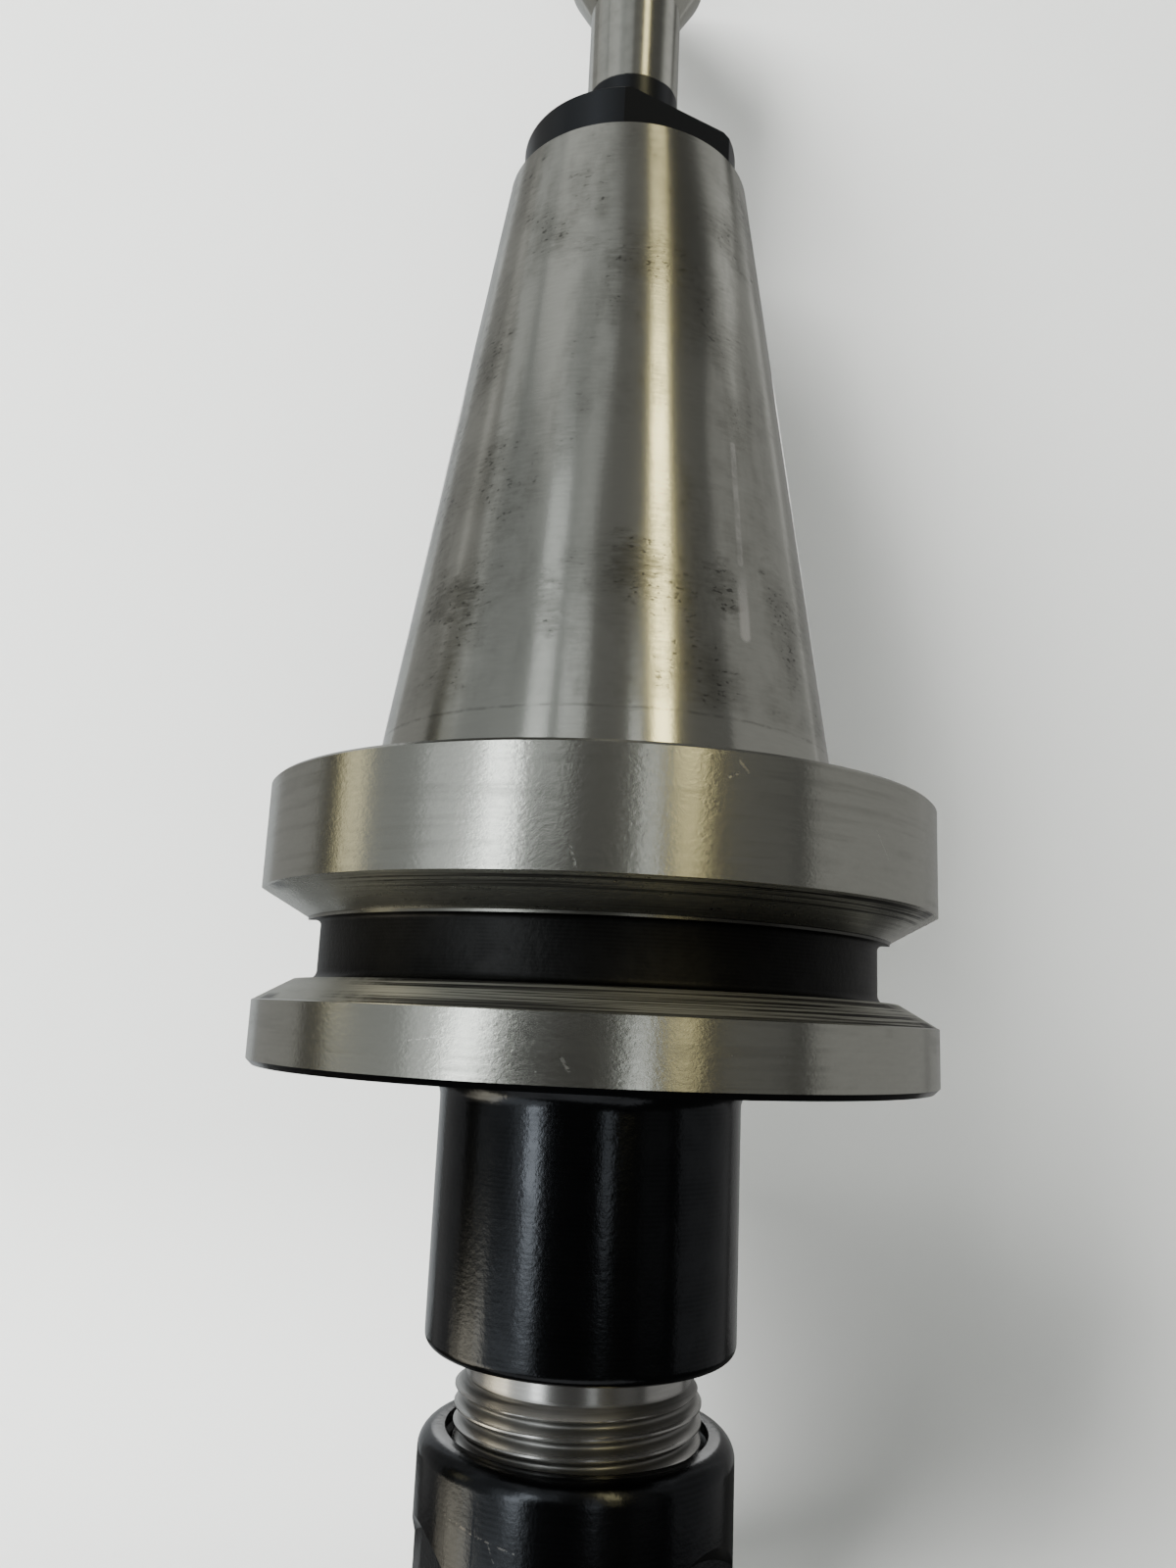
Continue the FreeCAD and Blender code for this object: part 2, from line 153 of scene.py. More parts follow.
class NutSizes(bpy.types.PropertyGroup):
    """Sizes of the clamping nut."""

    diameter: length("Diameter", "Outside of the nut", 28.0)
    across_flats: length("Across flats", "Distance over opposite flats", 25.0)
    flats: IntProperty(name="Flats", description="Number of wrench flats", default=6, min=2, max=12)
    flat_length: length("Flat length", "Length of a flat at its middle", 9.7)
    arch_radius: length("Arch radius", "Radius of a flat's arched top", 12.0)
    flat_angle: angle("Flat angle", "Direction that one flat faces", 20.3)
    rear_round: length("Rear round", "Radius of the rear edge", 1.7)
    front_chamfer: length("Front chamfer", "Edge break at the front face", 1.1)
    counterbore_diameter: length("Counterbore diameter", "Opening at the rear", 23.4)
    counterbore_depth: length("Counterbore depth", "Depth of the opening at the rear", 1.0)
    bore_diameter: length("Bore diameter", "Diameter of the threaded bore", 22.12)
    bore_depth: length("Bore depth", "Depth of the threaded bore", 11.9)
    lip_thickness: length("Lip thickness", "Thickness of the lip that holds the collet", 1.5)
    lip_offset: length("Lip offset", "How far the lip's bore lies off centre", 0.85)
    lip_radius: length("Lip radius", "Radius of the lip's bore", 7.95)
    chamber_radius: length("Chamber radius", "Radius of the room for the collet's rim", 8.6)
    chamber_depth: length("Chamber depth", "Length of the room for the collet's rim", 0.5)
    cone_radius: length("Cone radius", "Wide end of the cone that presses the collet", 8.267)
    mouth_radius: length("Mouth radius", "Radius of the front opening", 6.535)
    mouth_depth: length("Mouth depth", "Length of the front opening", 0.6)
    mouth_chamfer: length("Mouth chamfer", "Edge break at the front opening", 0.3)


class ColletSizes(bpy.types.PropertyGroup):
    """Sizes of the spring collet."""

    diameter: length("Diameter", "Widest diameter", 17.0)
    bore_diameter: length("Bore diameter", "Diameter of the bore", 8.0)
    taper: angle("Taper", "Half angle of the long taper", 8)
    face_diameter: length("Face diameter", "Diameter of the front face", 13.0)
    edge: length("Edge", "Edge break of the collet's corners", 0.3)
    cone_end: length("Cone end", "From the front face to the end of the front cone", 2.898)
    rim_diameter: length("Rim diameter", "Diameter of the rim in front of the groove", 16.0)
    groove_start: length("Groove start", "From the front face to the groove", 3.198)
    groove_end: length("Groove end", "From the front face to the groove's far side", 5.498)
    groove_diameter: length("Groove diameter", "Diameter at the groove's root", 13.8)
    seat_start: length("Seat start", "From the front face to the long taper", 6.198)
    slits: IntProperty(name="Slits", description="Number of slits from each end", default=8, min=4, max=24)
    slit_width: length("Slit width", "Width of a slit", 0.8)
    slit_bridge: length("Slit bridge", "What the front slits leave standing at the rear", 5.5)


class Finishes(bpy.types.PropertyGroup):
    """Colours of the finishes."""

    steel: colour("Steel", "Clean ground steel", 0.595, 0.595, 0.54)
    stain: colour("Stain", "Brownish stain on the ground shank", 0.215, 0.213, 0.187)
    oxide: colour("Black oxide", "Black oxide on turned steel", 0.040, 0.042, 0.046)
    # Also the colour of the painted shade on the groove's land
    oxide_dull: colour("Dull oxide", "Black oxide in the groove", 0.024, 0.024, 0.024)
    bright: colour("Bright steel", "Turned steel of the nose", 0.66, 0.65, 0.63)
    spring: colour("Spring steel", "Ground steel of the collet", 0.55, 0.55, 0.56)
    backdrop: colour("Backdrop", "Pale floor and backdrop", 0.80, 0.81, 0.80)


class StageSettings(bpy.types.PropertyGroup):
    """Camera and room."""

    camera_distance: length("Camera distance", "From the tool axis to the camera", 114.376)
    camera_height: length("Camera height", "Height of the camera above the gauge line", -21.844)
    camera_side: angle("Camera side", "Direction of the camera from the front, about the tool axis", -2)
    camera_pan: angle("Camera pan", "Heading of the view, clockwise from +Y", 1.2265)
    camera_pitch: angle("Camera pitch", "How far the camera looks up", 11.2013)
    camera_roll: angle("Camera roll", "Roll of the camera about its view", 2.561)
    focal_length: FloatProperty(name="Focal length", description="Lens in millimetres", default=27.13)
    wall_gap: length("Wall gap", "Gap between the flange and the backdrop", 1.0)
    backdrop_lean: angle("Backdrop lean", "How far the backdrop leans over, as if the tool lay on it", 13)


# Shader expressions

class Wire:
    """An output of a shader tree, used like a number: each operation adds a Math node."""

    def __init__(self, tree, socket):
        self.tree = tree
        self.socket = socket

    def math(self, operation, *values):
        return self.tree.add("ShaderNodeMath", {"operation": operation}, dict(enumerate(values)))

    def __add__(self, other):
        return self.math("ADD", self, other)

    def __radd__(self, other):
        return self.math("ADD", other, self)

    def __sub__(self, other):
        return self.math("SUBTRACT", self, other)

    def __rsub__(self, other):
        return self.math("SUBTRACT", other, self)

    def __mul__(self, other):
        return self.math("MULTIPLY", self, other)

    def __rmul__(self, other):
        return self.math("MULTIPLY", other, self)

    def __truediv__(self, other):
        return self.math("DIVIDE", self, other)

    def __abs__(self):
        return self.math("ABSOLUTE", self)

    def root(self):
        return self.math("SQRT", self)

    def rise(self, low, high):
        """0 below low, 1 above high, smooth between. With low above high it falls instead."""
        sides = {"Value": self, "From Min": low, "From Max": high}
        return self.tree.add("ShaderNodeMapRange", {"interpolation_type": "SMOOTHSTEP"}, sides)

    def band(self, low, high, soft):
        """1 between low and high and 0 outside, with soft edges."""
        return self.rise(low - soft, low + soft) * self.rise(high + soft, high - soft)

    def held(self, low, high):
        """The value, kept between two limits."""
        return self.math("MINIMUM", self.math("MAXIMUM", self, low), high)


class Finish:
    """A material with one Principled BSDF, and short ways to add what feeds it."""

    def __init__(self, name, **constants):
        self.material = bpy.data.materials.new(name)
        self.material.use_nodes = True
        self.nodes = self.material.node_tree.nodes
        self.links = self.material.node_tree.links
        self.surface = self.nodes["Principled BSDF"]
        for socket, value in constants.items():
            self.set(socket.replace("_", " "), value)
        self.set("Anisotropic Rotation", 0.25)
        place = self.add("ShaderNodeTexCoord", output="Object")
        self.place = self.add("ShaderNodeVectorMath", {"operation": "SCALE"}, {0: place, "Scale": 1 / MM})
        self.x, self.y, self.z = self.split(self.place)
        self.radius = (self.x * self.x + self.y * self.y).root()
        self.around = self.x.math("ARCTAN2", self.x, 0 - self.y) * math.degrees(1)

    def add(self, kind, settings=None, inputs=None, output=0):
        node = self.nodes.new(kind)
        for key, value in (settings or {}).items():
            setattr(node, key, value)
        for key, value in (inputs or {}).items():
            if isinstance(value, Wire):
                self.links.new(value.socket, node.inputs[key])
            else:
                node.inputs[key].default_value = value
        return Wire(self, node.outputs[output])

    def set(self, socket, value):
        if isinstance(value, Wire):
            self.links.new(value.socket, self.surface.inputs[socket])
        else:
            self.surface.inputs[socket].default_value = value

    def split(self, vector):
        node = self.nodes.new("ShaderNodeSeparateXYZ")
        self.links.new(vector.socket, node.inputs[0])
        return [Wire(self, output) for output in node.outputs]

    def vector(self, x, y, z):
        return self.add("ShaderNodeCombineXYZ", None, {0: x, 1: y, 2: z})

    def noise(self, vector, scale=1.0, detail=3.0, rough=0.5, distortion=0.0):
        values = {"Vector": vector, "Scale": scale, "Detail": detail, "Roughness": rough}
        return self.add("ShaderNodeTexNoise", None, values | {"Distortion": distortion})

    def mix(self, factor, first, second):
        sides = {0: factor, 6: self.opaque(first), 7: self.opaque(second)}
        return self.add("ShaderNodeMix", {"data_type": "RGBA"}, sides, output=2)

    def opaque(self, value):
        return value if isinstance(value, Wire) else (*value, 1.0)

    def turning_lines(self, along, around=0.12, detail=3.0, seed=0.0):
        """Noise drawn out into rings about the axis, as a cutter or a grinding wheel leaves them."""
        return self.noise(self.vector(self.x * around + seed, self.y * around, self.z * along), detail=detail)

    def feed_lines(self, pitch):
        """Even rings of a turning tool's feed, from 0 to 1."""
        return self.z.math("SINE", self.z * (FULL_TURN / pitch)) * 0.5 + 0.5

    def patch(self, around, height, wide, tall, wander):
        """Soft oval about a place given in degrees and millimetres, with its edge pushed about by noise."""
        across = (self.around - around + wander * wide) / wide
        along = (self.z - height - wander * tall) / tall
        return (across * across + along * along).rise(1.5, 0.1)

    def stroke(self, start, end, width):
        """Line between two places, each given in degrees and millimetres, on a surface of any radius."""
        arc = self.radius * (self.around - start[0]) * math.radians(1)
        swing = self.radius * (math.radians(end[0] - start[0]))
        rise = end[1] - start[1]
        up = self.z - start[1]
        share = ((arc * swing + up * rise) / (swing * swing + rise ** 2)).held(0, 1)
        aside, off = arc - share * swing, up - share * rise
        return (aside * aside + off * off).root().rise(width, width * 0.4)

    def strokes(self, marks):
        """All the lines of a table of marks."""
        mask = self.stroke(*marks[0])
        for mark in marks[1:]:
            mask = mask.math("MAXIMUM", mask, self.stroke(*mark))
        return mask

    def bump(self, height):
        """Relief, given as a height in millimetres."""
        self.set("Normal", self.add("ShaderNodeBump", None, {"Height": height, "Distance": MM}))


# Where a finish changes: heights above the gauge line and radii, in millimetres
SHANK_FOOT = (-1.5, -1.0)
GROOVE = (-21.5, -11.7)
GROOVE_MIDDLE = (-17, -16)
RIM_RADIUS = (31.4, 31.3)
# Inside this radius the groove's land gets painted shade
LEDGE_RADIUS = (27.45, 27.35)
# Below this height and inside this radius the nose gets painted shade in its thread's roots
THREAD_TOP = (-52.7, -53.1)
THREAD_ROOT = (10.9, 10.35)
COLLAR_TOP = (77.95, 77.75)

# Marks. A place is degrees about the axis, from the side that faces the camera, and a height in millimetres
# above the gauge line. A smudge has its place, half its size in degrees and millimetres, and its strength
SMUDGES = (
    (-48, 14.4, 11, 2.6, 0.85),
    (-17, 12.0, 3.5, 3.0, 0.75),
    (3, 16.0, 7, 3.2, 0.9),
    (15, 13.5, 3, 1.8, 0.5),
    (27, 15.0, 5, 3.0, 0.9),
    (46, 16.0, 7, 3.5, 0.5),
    (-52, 44.0, 9, 8.0, 0.55),
    (-24, 51.0, 8, 2.5, 0.55),
    (10, 48.5, 20, 2.6, 0.6),
    (-36, 25.0, 7, 7.0, 0.4),
    (150, 30.0, 30, 12.0, 0.6),
    (-140, 15.0, 25, 4.0, 0.7),
    (95, 40.0, 16, 6.0, 0.5),
)
# A line has its start, its end and half its width in millimetres
SCRATCHES = (
    ((16.2, -2.9), (17.6, -3.7), 0.13),
    ((14.8, -4.2), (16.4, -3.8), 0.10),
    ((-6.0, -9.9), (-5.2, -11.4), 0.14),
    ((-5.8, -24.6), (-4.9, -25.4), 0.16),
    ((41.0, -6.5), (44.0, -8.6), 0.08),
    ((-27.0, -24.0), (-22.0, -23.6), 0.07),
)
SCUFF_TRAIL = ((33.9, 30.0), (32.9, 18.0), 0.45)
SCUFF_DROP = ((32.9, 17.0), (32.5, 11.0), 0.75)
NUT_SCRATCH = (
    ((-49.5, -61.6), (-36.5, -62.1), 0.12),
    ((-36.5, -62.1), (-20.5, -62.7), 0.10),
    ((-30.0, -62.4), (-27.5, -63.6), 0.09),
)


def shade(colour, share):
    """A darker or lighter version of a colour."""
    return [share * channel for channel in colour]


def ground_steel(colours):
    """Ground steel: stains and a scuff on the shank, satin streaks on the rim, dark arcs in the groove,
    painted shade on the groove's land and a painted dark reflection near the groove's rim.
    """
    f = Finish("ground_shank", Metallic=1.0, Anisotropic=0.5)
    shank = f.z.rise(*SHANK_FOOT)
    rim = 1 - shank
    in_groove = f.radius.rise(*RIM_RADIUS) * f.z.band(*GROOVE, 0.05)
    upper_wall, lower_wall = f.z.rise(*GROOVE_MIDDLE), f.z.rise(*reversed(GROOVE_MIDDLE))
    grain = f.turning_lines(3.2, around=0.6, detail=4.0)
    fine = f.turning_lines(6.0, around=0.1, seed=5.0)
    satin = f.noise(f.vector(f.x * 2.2, f.y * 2.2, f.z * 3.2), detail=2.0, rough=0.7)
    cloud = f.noise(f.place, scale=0.10, detail=5.0, rough=0.6, distortion=0.3)
    drift = f.noise(f.vector(f.x, f.y, f.z * 0.3), scale=0.28, detail=4.0, rough=0.55)
    wander = f.noise(f.vector(f.x, f.y, f.z * 2.2), scale=0.55, detail=5.0, rough=0.65) * 2.6 - 1.3
    wiped = f.turning_lines(1.1, around=0.05, detail=4.0, seed=9.0).rise(0.46, 0.66)
    wiped = rim * wiped * cloud.rise(0.40, 0.60)

    dirty = cloud.rise(0.40, 0.68) * 0.46 + drift.rise(0.46, 0.72) * 0.40
    for around, height, wide, tall, strength in SMUDGES:
        dirty = dirty + f.patch(around, height, wide, tall, wander) * (strength * 0.62)
    dirty = shank * f.z.rise(2.4, 4.5) * dirty.held(0, 1) * (0.35 + grain * 1.3)
    speck = f.turning_lines(3.0, around=1.5, detail=2.0, seed=3.0).rise(0.60, 0.68) * dirty.rise(0.30, 0.60)
    broken = f.noise(f.place, scale=0.9, detail=2.0).rise(0.35, 0.6)
    ring = (f.z + wander * 0.16).band(3.0, 3.12, 0.16) * (0.10 + broken * 0.45)
    trail = f.stroke(*SCUFF_TRAIL) * (0.15 + broken * 0.2)
    drop = f.stroke(*SCUFF_DROP) * f.z.rise(18, 12)

    arcs = f.noise(f.vector(f.radius * 2.8, f.around * 0.014, upper_wall * 9), rough=0.6)
    thin = f.noise(f.vector(f.radius * 5.5, f.around * 0.02, upper_wall * 9 + 4), detail=2.0)
    worn = (f.around + wander * 10).band(-40, 62, 9)
    outer = (f.radius.rise(28.4, 30.0) + lower_wall).held(0.3, 1)
    # Painted shade on the narrow land below the groove's upper wall
    painted_land_shade = in_groove * f.radius.rise(*LEDGE_RADIUS)
    lines = (arcs.rise(0.46, 0.55) * 0.85 + thin.rise(0.52, 0.62) * 0.5).held(0, 1)
    streak = in_groove * worn * outer * lines
    # Painted reflection: dark blots on the groove's walls near the rim, at about 60 degrees on both sides
    smear_and_painted_reflection = in_groove * f.radius.rise(30.2, 31.0) * (abs(f.around) + wander * 3).band(59, 66, 2)
    scratch = f.strokes(SCRATCHES) * satin.rise(0.40, 0.60)

    mottle = grain * 0.40 + fine * 0.20 + rim * satin * 0.22
    tone = f.mix(mottle, colours.steel, shade(colours.steel, 0.75))
    tone = f.mix(wiped * 0.28, tone, shade(colours.steel, 0.4))
    tone = f.mix(dirty * 0.85, tone, colours.stain)
    tone = f.mix(speck * 0.75, tone, shade(colours.stain, 0.4))
    tone = f.mix(ring, tone, shade(colours.stain, 0.5))
    # Dark arcs in the groove, and the painted dark reflection near its rim
    tone = f.mix((streak + smear_and_painted_reflection * 0.8).held(0, 1), tone, [0.05, 0.049, 0.047])
    # Painted shade: the land darkened towards the dull oxide's colour, more on the +X side
    tone = f.mix(painted_land_shade * (0.45 + f.around.rise(-20, 20) * 0.4), tone, colours.oxide_dull)
    tone = f.mix((trail + drop * 0.7 + scratch * 0.22).held(0, 1), tone, [1.0, 0.98, 0.93])
    f.set("Base Color", tone)
    rough = 0.15 + dirty * 0.08 + grain * 0.03 + rim * (0.015 + satin * 0.08) + wiped * 0.04
    rough = rough + in_groove * (0.06 + lower_wall * 0.20)
    f.set("Roughness", rough + streak * 0.14 + drop * 0.22 + trail * 0.2 + scratch * 0.12)
    relief = fine * 0.0012 + grain * shank * 0.0030 + satin * (0.011 - shank * 0.008)
    f.bump(relief - speck * 0.003 - scratch * 0.005)
    return f.material


def black_oxide(name, tone, roughness, feed, depth, blasted=0.0, scratch=None):
    """Black oxide on turned or blasted steel: dark, with fine rings from the tool's feed and a soft grain."""
    f = Finish(name, Metallic=1.0, Anisotropic=0.35)
    rings = f.turning_lines(4.0, around=0.2, detail=2.0)
    cloud = f.noise(f.place, scale=0.35, detail=4.0, rough=0.6)
    grain = f.noise(f.place, scale=2.0, detail=2.0, rough=0.7)
    lines = f.feed_lines(feed) * cloud.rise(0.35, 0.6)
    tone = f.mix(cloud.rise(0.3, 0.75) * 0.3 + grain * 0.2 + lines * 0.3, tone, shade(tone, 0.5))
    rough = roughness + rings * 0.05 + cloud * 0.04
    relief = rings * depth * 0.7 + lines * depth * 0.6 + grain * (0.016 + blasted)
    if scratch:
        worn = f.strokes(scratch) * grain.rise(0.46, 0.60)
        tone = f.mix(worn * 0.32, tone, [0.30, 0.29, 0.27])
        rough = rough + worn * 0.15
    f.set("Base Color", tone)
    f.set("Roughness", rough)
    f.bump(relief)
    return f.material


def bright_steel(name, tone, roughness, painted_root_shade=0.0):
    """Clean turned or ground steel, which may have painted shade in the roots of the nose's thread."""
    f = Finish(name, Metallic=1.0, Anisotropic=0.4)
    rings = f.turning_lines(8.0, around=0.3)
    # In this finish it is only a random smear of the tone
    smear_and_painted_reflection = f.noise(f.place, scale=0.5)
    # Painted shade: the thread's roots darker and rougher
    root = f.z.rise(*THREAD_TOP) * f.radius.rise(*THREAD_ROOT) * painted_root_shade
    f.set("Base Color", f.mix(rings * 0.3 + smear_and_painted_reflection * 0.15 + root * 0.5, tone, shade(tone, 0.15)))
    f.set("Roughness", roughness + rings * 0.06 + root * 0.15)
    f.bump(rings * 0.0008)
    return f.material


def stud_steel(colours):
    """Pull stud: black collar and foot, ground neck and head."""
    f = Finish("two_tone_stud", Metallic=1.0, Anisotropic=0.45)
    rings = f.turning_lines(9.0, around=0.25)
    cloud = f.noise(f.place, scale=0.4, detail=5.0, rough=0.65)
    blackened = (f.z + cloud * 0.5).rise(*COLLAR_TOP)
    steel = f.mix(cloud.rise(0.35, 0.8) * 0.45, colours.steel, shade(colours.steel, 0.6))
    f.set("Base Color", f.mix(blackened, steel, shade(colours.oxide, 1.3)))
    f.set("Roughness", 0.16 + rings * 0.06 + blackened * 0.16)
    f.bump(rings * 0.0005)
    return f.material


def backdrop_paint(colours):
    """Pale backdrop that can be seen through from behind."""
    material = bpy.data.materials.new("backdrop")
    material.use_nodes = True
    nodes, links = material.node_tree.nodes, material.node_tree.links
    surface = nodes["Principled BSDF"]
    surface.inputs["Base Color"].default_value = (*colours.backdrop, 1)
    surface.inputs["Roughness"].default_value = 0.9
    side = nodes.new("ShaderNodeNewGeometry")
    clear = nodes.new("ShaderNodeBsdfTransparent")
    mix = nodes.new("ShaderNodeMixShader")
    links.new(side.outputs["Backfacing"], mix.inputs["Fac"])
    links.new(surface.outputs[0], mix.inputs[1])
    links.new(clear.outputs[0], mix.inputs[2])
    links.new(mix.outputs[0], nodes["Material Output"].inputs["Surface"])
    return material


# Turned and milled shapes

TINY = 1e-7
SHARP_EDGE = math.radians(28)
DRILL_POINT = math.radians(59)


def arc(centre, start, end, steps=6):
    """Points of an arc about a centre, without its start. All are (radius, height) pairs."""
    first = math.atan2(start[1] - centre[1], start[0] - centre[0])
    last = math.atan2(end[1] - centre[1], end[0] - centre[0])
    swing = (last - first + math.pi) % FULL_TURN - math.pi
    size = math.hypot(start[0] - centre[0], start[1] - centre[1])
    bearings = [first + swing * step / steps for step in range(1, steps + 1)]
    return [(centre[0] + size * math.cos(b), centre[1] + size * math.sin(b)) for b in bearings]


def on_circle(radius, bearing, height):
    return Vector((radius * math.cos(bearing), radius * math.sin(bearing), height))


def bearings_of(segments):
    return [FULL_TURN * step / segments for step in range(segments)]


def turned(section, segments=256, filler=None):
    """Mesh of a closed section spun about Z. The section is a list of (finish, points): a finish belongs to
    the stretches that end at its points. A finish of None leaves a gap, which the filler closes."""
    mesh = bmesh.new()
    rings = []
    for finish, points in section:
        for radius, height in points:
            if radius < TINY:
                ring = [mesh.verts.new((0, 0, height))]
            else:
                ring = [mesh.verts.new(on_circle(radius, b, height)) for b in bearings_of(segments)]
            rings.append((finish, ring))
    for (_, ring), (finish, after) in zip(rings, rings[1:] + rings[:1]):
        if finish is None or len(ring) + len(after) == 2:
            continue
        for step in range(segments):
            following = (step + 1) % segments
            corners = [ring[step % len(ring)], ring[following % len(ring)]]
            corners += [after[following % len(after)], after[step % len(after)]]
            face = mesh.faces.new(list(dict.fromkeys(corners)))
            face.material_index = finish
    if filler:
        filler(mesh, segments)
    bmesh.ops.remove_doubles(mesh, verts=mesh.verts, dist=2 * TINY)
    bmesh.ops.dissolve_degenerate(mesh, edges=mesh.edges, dist=TINY)
    bmesh.ops.recalc_face_normals(mesh, faces=mesh.faces)
    return mesh


def limit(outline, height):
    """Radius of an outline at a height, where the outline is (radius, height) pairs from top to bottom."""
    for (upper_radius, upper), (lower_radius, lower) in zip(outline, outline[1:]):
        if height >= lower:
            share = (upper - height) / (upper - lower)
            return upper_radius + (lower_radius - upper_radius) * share
    return outline[-1][0]


def thread_rows(sizes, outline, finish, rows_in_pitch=20):
    """Filler that makes a right-hand external thread, with a rounded root, inside a turned outline."""
    crest = sizes.thread_diameter / 2
    pitch = sizes.thread_pitch
    half, flat, flank = pitch / 2, pitch / 16, math.radians(30)
    root_round = (half - flat) / math.tan(flank) - sizes.thread_depth
    top, bottom = outline[0][1], outline[-1][1]
    turns_above = math.ceil((top - sizes.crest_height) / pitch) + 1
    rows = rows_in_pitch * (turns_above + math.ceil((sizes.crest_height - bottom) / pitch) + 2)

    def radius_of(row):
        share = row % rows_in_pitch / rows_in_pitch
        from_crest = min(share, 1 - share) * pitch
        from_root = half - from_crest
        if from_root > root_round * math.cos(flank):
            return crest - max(from_crest - flat, 0) / math.tan(flank)
        return crest - sizes.thread_depth + root_round - math.sqrt(root_round ** 2 - from_root ** 2)

    def fill(mesh, segments):
        grid = []
        for bearing in bearings_of(segments):
            column = []
            for row in range(rows + 1):
                free = sizes.crest_height + pitch * (turns_above - row / rows_in_pitch + bearing / FULL_TURN)
                height = min(max(free, bottom), top)
                radius = min(radius_of(row), limit(outline, height))
                column.append(mesh.verts.new(on_circle(radius, bearing, height)))
            grid.append(column)
        grid.append([grid[0][max(row - rows_in_pitch, 0)] for row in range(rows + 1)])
        for left, right in zip(grid, grid[1:]):
            for row in range(rows):
                corners = [left[row], right[row], right[row + 1], left[row + 1]]
                if len(set(corners)) > 2 and (corners[0].co.z > bottom or corners[1].co.z > bottom):
                    if corners[2].co.z < top or corners[3].co.z < top:
                        mesh.faces.new(list(dict.fromkeys(corners))).material_index = finish

    return fill


def loft(name, first, second, material):
    """Closed solid between two loops of as many points, used as a milling cutter."""
    mesh = bmesh.new()
    ends = [[mesh.verts.new(p) for p in loop] for loop in (first, second)]
    for loop in ends:
        mesh.faces.new(loop)
    near, far = ends
    for here, following in zip(range(len(near)), list(range(1, len(near))) + [0]):
        mesh.faces.new((near[here], near[following], far[following], far[here]))
    bmesh.ops.recalc_face_normals(mesh, faces=mesh.faces)
    return as_object(name, mesh, [material])


def round_cutter(name, near, far, near_radius, far_radius, material, steps=96):
    """Round cutter between two centres. A cutter along X is a cone or cylinder across the axis."""
    direction = (far - near).normalized()
    side = direction.orthogonal().normalized()
    other = direction.cross(side)
    loops = []
    for centre, radius in ((near, near_radius), (far, far_radius)):
        spokes = [side * math.cos(b) + other * math.sin(b) for b in bearings_of(steps)]
        loops.append([centre + spoke * radius for spoke in spokes])
    return loft(name, *loops, material)


def box_cutter(name, low, high, material):
    """Square cutter between two corners."""
    loop = [(low[0], low[1]), (high[0], low[1]), (high[0], high[1]), (low[0], high[1])]
    return loft(name, [(x, y, low[2]) for x, y in loop], [(x, y, high[2]) for x, y in loop], material)


def as_object(name, mesh, materials):
    data = bpy.data.meshes.new(name)
    mesh.to_mesh(data)
    mesh.free()
    for material in materials:
        data.materials.append(material)
    piece = bpy.data.objects.new(name, data)
    bpy.context.scene.collection.objects.link(piece)
    return piece


def milling_tree():
    """Node group that repeats a cutter about the axis and takes its copies out of a turned piece."""
    tree = bpy.data.node_groups.get("Milled pattern")
    if tree:
        return tree
    tree = bpy.data.node_groups.new("Milled pattern", "GeometryNodeTree")
    sockets = (
        ("Blank", "INPUT", "NodeSocketGeometry"),
        ("Cutter", "INPUT", "NodeSocketObject"),
        ("Count", "INPUT", "NodeSocketInt"),
        ("First angle", "INPUT", "NodeSocketFloat"),
        ("Finish", "INPUT", "NodeSocketMaterial"),
        ("Piece", "OUTPUT", "NodeSocketGeometry"),
    )
    for name, way, kind in sockets:
        tree.interface.new_socket(name, in_out=way, socket_type=kind)

    def add(kind, settings=None, links=None):
        node = tree.nodes.new(kind)
        for key, value in (settings or {}).items():
            setattr(node, key, value)
        for key, source in (links or {}).items():
            if hasattr(source, "is_output"):
                tree.links.new(source, node.inputs[key])
            else:
                node.inputs[key].default_value = source
        return node

    given = add("NodeGroupInput").outputs
    cutter = add("GeometryNodeObjectInfo", {"transform_space": "ORIGINAL"}, {"Object": given["Cutter"]})
    points = add("GeometryNodeMeshLine", None, {"Count": given["Count"], "Offset": (0, 0, 0)})
    step = add("ShaderNodeMath", {"operation": "DIVIDE"}, {0: FULL_TURN, 1: given["Count"]})
    turn = add(
        "ShaderNodeMath",
        {"operation": "MULTIPLY_ADD"},
        {0: add("GeometryNodeInputIndex").outputs[0], 1: step.outputs[0], 2: given["First angle"]},
    )
    heading = add("ShaderNodeCombineXYZ", None, {"Z": turn.outputs[0]})
    copies = add(
        "GeometryNodeInstanceOnPoints",
        None,
        {"Points": points.outputs[0], "Instance": cutter.outputs["Geometry"], "Rotation": heading.outputs[0]},
    )
    cutters = add("GeometryNodeRealizeInstances", None, {"Geometry": copies.outputs[0]})
    cut = add("GeometryNodeMeshBoolean", {"operation": "DIFFERENCE", "solver": "EXACT"})
    tree.links.new(given["Blank"], cut.inputs["Mesh 1"])
    tree.links.new(cutters.outputs[0], cut.inputs["Mesh 2"])
    whole = add("GeometryNodeRealizeInstances", None, {"Geometry": cut.outputs["Mesh"]})
    fresh = add("GeometryNodeInputNamedAttribute", {"data_type": "BOOLEAN"}, {"Name": "milled"})
    painted = add(
        "GeometryNodeSetMaterial",
        None,
        {"Geometry": whole.outputs[0], "Selection": fresh.outputs["Attribute"], "Material": given["Finish"]},
    )
    add("NodeGroupOutput", None, {"Piece": painted.outputs[0]})
    return tree


